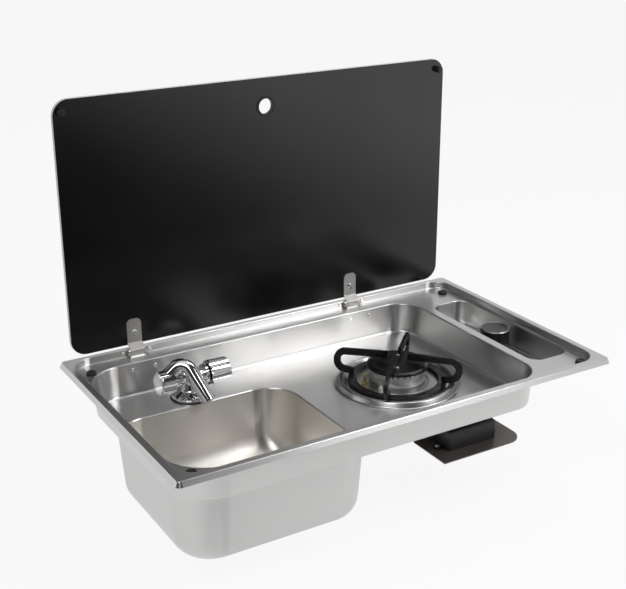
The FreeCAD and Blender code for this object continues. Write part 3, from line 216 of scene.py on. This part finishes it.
def split(tree, vector):
    made = add_node(tree, "ShaderNodeSeparateXYZ")
    link(tree, vector, made.inputs[0])
    return made.outputs["X"], made.outputs["Y"], made.outputs["Z"]


def object_place(tree):
    return add_node(tree, "ShaderNodeTexCoord").outputs["Object"]


def noise(tree, place, stretch, scale=1.0, detail=3.0, rough=0.55):
    mapping = add_node(tree, "ShaderNodeMapping")
    mapping.inputs["Scale"].default_value = stretch
    link(tree, place, mapping.inputs["Vector"])
    made = add_node(tree, "ShaderNodeTexNoise")
    made.inputs["Scale"].default_value = scale
    made.inputs["Detail"].default_value = detail
    made.inputs["Roughness"].default_value = rough
    link(tree, mapping.outputs["Vector"], made.inputs["Vector"])
    return made.outputs["Fac"]


def rings(tree, radius, scale, detail):
    # Fine turned rings round an axis.
    made = add_node(tree, "ShaderNodeTexNoise", noise_dimensions="1D")
    made.inputs["Scale"].default_value = scale
    made.inputs["Detail"].default_value = detail
    link(tree, radius, made.inputs["W"])
    return made.outputs["Fac"]


def upright_radius(tree, place, centre):
    # Distance from the upright axis through centre.
    flat = vector_node(tree, "MULTIPLY", vector_node(tree, "SUBTRACT", place, centre), (1, 1, 0))
    length = add_node(tree, "ShaderNodeVectorMath", operation="LENGTH")
    link(tree, flat, length.inputs[0])
    return length.outputs["Value"]


def bump(tree, height, strength):
    made = add_node(tree, "ShaderNodeBump")
    made.inputs["Strength"].default_value = strength
    made.inputs["Distance"].default_value = bump_depth
    link(tree, height, made.inputs["Height"])
    return made.outputs["Normal"]


finishes = {}


def new_material(name, colour, roughness, metallic=0.0, specular=0.5):
    material = bpy.data.materials.new(name)
    finishes[name] = material
    material.use_nodes = True
    tree = material.node_tree
    shader = tree.nodes["Principled BSDF"]
    shader.inputs["Base Color"].default_value = (*colour, 1.0)
    shader.inputs["Metallic"].default_value = metallic
    shader.inputs["Roughness"].default_value = roughness
    shader.inputs["Specular IOR Level"].default_value = specular
    return tree, shader


def across_grain(tree, way):
    # A fixed direction across the grain of brushed sheet, along which its highlights stretch.
    made = add_node(tree, "ShaderNodeCombineXYZ")
    for socket, value in zip(made.inputs, way):
        socket.default_value = value
    return made.outputs[0]


def brushed_metal(name, colour, roughness, stretch, stretched=0.9, grain=0.025, relief=0.01):
    # Sheet brushed along one axis, with faint smudges.
    smudge, smudge_scale = 0.02, 9.0
    tree, shader = new_material(name, colour, roughness, metallic=1.0)
    shader.inputs["Anisotropic"].default_value = stretched
    link(tree, across_grain(tree, sheet_across), shader.inputs["Tangent"])
    place = object_place(tree)
    streak = noise(tree, place, stretch, rough=0.6)
    cloud = noise(tree, place, even, smudge_scale)
    brushed = ranged(tree, streak, roughness - grain, roughness + grain)
    smudged = math_node(tree, "ADD", brushed, ranged(tree, cloud, -smudge, smudge))
    link(tree, smudged, shader.inputs["Roughness"])
    link(tree, varied(tree, streak, colour, 0.98, 1.02), shader.inputs["Base Color"])
    link(tree, bump(tree, streak, relief), shader.inputs["Normal"])
    return tree, shader


def bowl_material():
    # The same sheet as the deck; on the faces that look into the bowl a painted warm reflection makes
    # it lighter and warmer.
    cloud_scale = 9.0
    tree, shader = brushed_metal("bowl_steel", sheet_colour, 0.36, grain_along_x)
    coords = add_node(tree, "ShaderNodeTexCoord")
    outward = vector_node(tree, "SUBTRACT", coords.outputs["Object"], centre_of("sink_bowl"))
    facing = add_node(tree, "ShaderNodeVectorMath", operation="DOT_PRODUCT")
    link(tree, outward, facing.inputs[0])
    link(tree, coords.outputs["Normal"], facing.inputs[1])
    painted_reflection_faces = math_node(tree, "LESS_THAN", facing.outputs["Value"], 0.0)
    cloud = noise(tree, coords.outputs["Object"], even, cloud_scale)
    # The inner faces take the painted warm reflection, with a faint random tone.
    painted_warm_reflection = varied(tree, cloud, bowl_painted_reflection_colour, 0.97, 1.03)
    link(tree, mixed(tree, painted_reflection_faces, sheet_colour, painted_warm_reflection), shader.inputs["Base Color"])


def spun_metal(name, colour, roughness, centre):
    # Sheet spun on a lathe: rings round the centre, and highlights across them.
    ring_scale, ring_spread = 1600.0, 0.04
    smudge, smudge_scale = 0.03, 14.0
    tree, shader = new_material(name, colour, roughness, metallic=1.0)
    shader.inputs["Anisotropic"].default_value = 0.6
    shader.inputs["Anisotropic Rotation"].default_value = 0.25
    tangent = add_node(tree, "ShaderNodeTangent", direction_type="RADIAL", axis="Z")
    link(tree, tangent.outputs[0], shader.inputs["Tangent"])
    place = object_place(tree)
    turned = rings(tree, upright_radius(tree, place, centre), ring_scale, 3.0)
    cloud = noise(tree, place, even, smudge_scale)
    ringed = ranged(tree, turned, roughness - ring_spread, roughness + ring_spread)
    smudged = math_node(tree, "ADD", ringed, ranged(tree, cloud, -smudge, smudge))
    link(tree, smudged, shader.inputs["Roughness"])
    link(tree, varied(tree, turned, colour, 0.93, 1.05), shader.inputs["Base Color"])
    link(tree, bump(tree, turned, 0.05), shader.inputs["Normal"])


def grained(name, colour, roughness, scale, relief, metallic=0.0, specular=0.5, tone=0.25):
    # A surface with a fine grain: moulded plastic, rubber, enamel, cast metal.
    rough_spread, cloud_size = 0.12, 30.0
    tree, shader = new_material(name, colour, roughness, metallic, specular)
    place = object_place(tree)
    fine = noise(tree, place, even, scale)
    cloud = noise(tree, place, even, scale / cloud_size)
    rough = ranged(tree, cloud, roughness - rough_spread, roughness + rough_spread)
    link(tree, rough, shader.inputs["Roughness"])
    link(tree, varied(tree, cloud, colour, 1 - tone, 1 + tone), shader.inputs["Base Color"])
    link(tree, bump(tree, fine, relief), shader.inputs["Normal"])


def polished(name, colour, roughness):
    # Bright metal under a thin uneven film.
    film_scale = 60.0
    tree, shader = new_material(name, colour, roughness, metallic=1.0)
    film = noise(tree, object_place(tree), even, film_scale)
    rough = ranged(tree, film, roughness * 0.6, roughness * 1.6)
    link(tree, rough, shader.inputs["Roughness"])
    link(tree, varied(tree, film, colour, 0.97, 1.03), shader.inputs["Base Color"])


def lid_material():
    # Black glass with a faint haze; the ground edges of the pane are paler than its faces.
    face = (0.0015, 0.0015, 0.002)
    rim = (0.6, 0.62, 0.62)
    face_turn = 0.9
    haze_scale = 7.0
    smoothest, dullest = 0.19, 0.24
    tree, shader = new_material("black_glass", face, smoothest)
    coords = add_node(tree, "ShaderNodeTexCoord")
    _, depth, _ = split(tree, coords.outputs["Normal"])
    across = math_node(tree, "ABSOLUTE", depth, 0.0)
    edge = math_node(tree, "LESS_THAN", across, face_turn)
    haze = noise(tree, coords.outputs["Object"], even, haze_scale, detail=4.0)
    link(tree, mixed(tree, edge, face, rim), shader.inputs["Base Color"])
    link(tree, ranged(tree, haze, smoothest, dullest), shader.inputs["Roughness"])


def knob_material():
    # Black knob with a bright turned bevel and a finely turned top.
    side = (0.006, 0.006, 0.006)
    bevel = (0.5, 0.5, 0.5)
    crown = (0.075, 0.074, 0.073)
    bevel_height = 0.0013
    top_radius = 0.0191
    ring_scale = 2500.0
    tree, shader = new_material("knob_finish", side, 0.35, specular=0.35)
    place = object_place(tree)
    _, _, height = split(tree, place)
    radius = upright_radius(tree, place, knob_centre)
    high = math_node(tree, "GREATER_THAN", height, knob_top - bevel_height)
    inner = math_node(tree, "LESS_THAN", radius, top_radius)
    turned = rings(tree, radius, ring_scale, 2.0)
    top = varied(tree, turned, crown, 0.7, 1.3)
    ringed = mixed(tree, inner, bevel, top)
    link(tree, mixed(tree, high, side, ringed), shader.inputs["Base Color"])
    link(tree, high, shader.inputs["Metallic"])
    link(tree, ranged(tree, turned, 0.25, 0.4), shader.inputs["Roughness"])
    link(tree, bump(tree, turned, 0.1), shader.inputs["Normal"])


def make_materials():
    brushed_metal("pressed_steel", sheet_colour, 0.3, grain_along_x, grain=0.012, relief=0.004)
    bowl_material()
    brushed_metal("plain_steel", (0.56, 0.545, 0.525), 0.44, grain_along_z, stretched=0.3)
    spun_metal("dish_steel", (0.68, 0.675, 0.67), 0.33, burner_centre)
    polished("chrome", (0.8, 0.81, 0.82), 0.05)
    polished("bright_alloy", (0.92, 0.915, 0.91), 0.38)
    polished("bright_steel", (0.9, 0.895, 0.89), 0.14)
    lid_material()
    grained("black_rubber", (0.012, 0.012, 0.012), 0.5, 1800.0, 0.2)
    grained("foam", (0.04, 0.04, 0.04), 0.85, 900.0, 0.5)
    grained("black_enamel", (0.006, 0.006, 0.006), 0.3, 1500.0, 0.12, specular=0.4)
    grained("cast_alloy", (0.45, 0.45, 0.45), 0.45, 1400.0, 0.3, metallic=1.0)
    grained("brass", (0.7, 0.5, 0.2), 0.3, 1200.0, 0.1, metallic=1.0, tone=0.12)
    grained("ceramic", (0.6, 0.59, 0.56), 0.25, 700.0, 0.05, tone=0.05)
    grained("black_plastic", (0.016, 0.016, 0.017), 0.42, 2200.0, 0.3)
    grained("white_plastic", (0.75, 0.75, 0.74), 0.4, 1500.0, 0.1, tone=0.05)
    grained("tray_steel", (0.19, 0.17, 0.163), 0.42, 500.0, 0.15, metallic=0.7)
    knob_material()


# Nodes with a finish other than their material slot's
own_finish = {
    "sink_bowl": "bowl_steel",
    "burner_dish": "dish_steel",
    "gas_knob": "knob_finish",
    "flame_crown": "bright_alloy",
    "strap_screws": "bright_steel",
    "hinge_rivets": "bright_steel",
    "cap_screws": "bright_steel",
}


def dress_nodes():
    make_materials()
    for entry in frame["record"]["subparts"]:
        node = nodes[entry["node"]]
        finish = own_finish.get(entry["node"], entry["material_slot"])
        node.data.materials.clear()
        node.data.materials.append(finishes[finish])


def make_spring():
    # The valve's spring, copied into an object of its own that rides on the deck, in place of the
    # imported part.
    low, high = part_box("valve_spring")
    foot = centre_of("valve_spring")
    foot.z = low.z
    spring = bpy.data.objects.new("coiled_spring", nodes["valve_spring"].data.copy())
    bpy.context.scene.collection.objects.link(spring)
    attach(spring, "deck")
    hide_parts("valve_spring")
    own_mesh(spring)


def for_sight(tree, plain, seen):
    # Plain lights the object; the camera, reflections and glass see the other.
    path = add_node(tree, "ShaderNodeLightPath")
    sight = math_node(
        tree, "MAXIMUM", path.outputs["Is Camera Ray"], path.outputs["Is Glossy Ray"]
    )
    sight = math_node(tree, "MAXIMUM", sight, path.outputs["Is Transmission Ray"])
    mix = add_node(tree, "ShaderNodeMixShader")
    link(tree, sight, mix.inputs[0])
    link(tree, plain, mix.inputs[1])
    link(tree, seen, mix.inputs[2])
    return mix.outputs[0]


def by_sight(tree, direct, mirrored):
    # One value seen straight on, another in reflections.
    path = add_node(tree, "ShaderNodeLightPath")
    made = add_node(tree, "ShaderNodeMix", data_type="FLOAT")
    numbers = [socket for socket in made.inputs if socket.type == "VALUE"]
    link(tree, path.outputs["Is Glossy Ray"], numbers[0])
    numbers[1].default_value = direct
    link(tree, mirrored, numbers[2])
    return [socket for socket in made.outputs if socket.type == "VALUE"][0]


def make_world():
    # In reflections the sweep is white behind the object and paler to its right; above it the room is
    # dim up to the pale ceiling.
    world = bpy.data.worlds.new("studio")
    bpy.context.scene.world = world
    world.use_nodes = True
    tree = world.node_tree
    plain = tree.nodes["Background"]
    plain.inputs["Color"].default_value = (*ambient_colour, 1.0)
    plain.inputs["Strength"].default_value = ambient_strength
    seen = add_node(tree, "ShaderNodeBackground")
    seen.inputs["Color"].default_value = (1.0, 1.0, 1.0, 1.0)
    x, y, z = split(tree, add_node(tree, "ShaderNodeTexCoord").outputs["Generated"])
    behind = ranged(tree, y, 0.0, 1.0, sweep_behind_span)
    right = ranged(tree, x, 0.0, right_sweep, sweep_right_span)
    low = ranged(tree, z, 1.0, 0.0, sweep_top_span)
    sweep = math_node(tree, "MULTIPLY", math_node(tree, "MAXIMUM", behind, right), low)
    ceiling = ranged(tree, z, studio_dim, ceiling_glow, ceiling_span)
    mirrored = math_node(tree, "MAXIMUM", sweep, ceiling)
    link(tree, by_sight(tree, background_white, mirrored), seen.inputs["Strength"])
    surface = tree.nodes["World Output"].inputs["Surface"]
    link(tree, for_sight(tree, plain.outputs[0], seen.outputs[0]), surface)


def make_floor():
    # Part of its white is a glow, so that it stays pale; the rest takes the object's shadow. In
    # reflections it is bright round the object and to its right, and dim on the near side.
    height = cad_box[0][2] - floor_gap
    half = floor_size / 2
    corners = [(x, y, height) for x, y in ((-half, -half), (half, -half), (half, half), (-half, half))]
    mesh = bpy.data.meshes.new("studio_floor")
    mesh.from_pydata(corners, [], [(0, 1, 2, 3)])
    floor = bpy.data.objects.new("studio_floor", mesh)
    bpy.context.scene.collection.objects.link(floor)
    tree, shader = new_material("studio_floor", floor_colour, floor_roughness, specular=0.0)
    x, y, _ = split(tree, object_place(tree))
    around = ranged(tree, y, floor_dim, 1.0, floor_near_span)
    side = ranged(tree, x, floor_dim, floor_bright_side, floor_right_span)
    glow = add_node(tree, "ShaderNodeEmission")
    level = by_sight(tree, background_white, math_node(tree, "MAXIMUM", around, side))
    link(tree, level, glow.inputs["Strength"])
    mirrored_shade = math_node(tree, "MULTIPLY", around, floor_mirrored_shade)
    part_shade = add_node(tree, "ShaderNodeMixShader")
    link(tree, by_sight(tree, floor_seen_shade, mirrored_shade), part_shade.inputs[0])
    link(tree, glow.outputs[0], part_shade.inputs[1])
    link(tree, shader.outputs[0], part_shade.inputs[2])
    surface = tree.nodes["Material Output"].inputs["Surface"]
    link(tree, for_sight(tree, shader.outputs[0], part_shade.outputs[0]), surface)
    mesh.materials.append(finishes["studio_floor"])


def make_lamps():
    for name, place, size, watts in lamps:
        data = bpy.data.lights.new(name, "AREA")
        data.shape = "RECTANGLE"
        data.size, data.size_y = size
        data.energy = watts
        lamp = bpy.data.objects.new(name, data)
        bpy.context.scene.collection.objects.link(lamp)
        lamp.location = place
        lamp.rotation_euler = (lamp_aim - Vector(place)).to_track_quat("-Z", "Y").to_euler()


make_camera()
make_world()
make_floor()
make_lamps()
dress_nodes()
make_spring()
bpy.context.scene.view_settings.view_transform = "Standard"
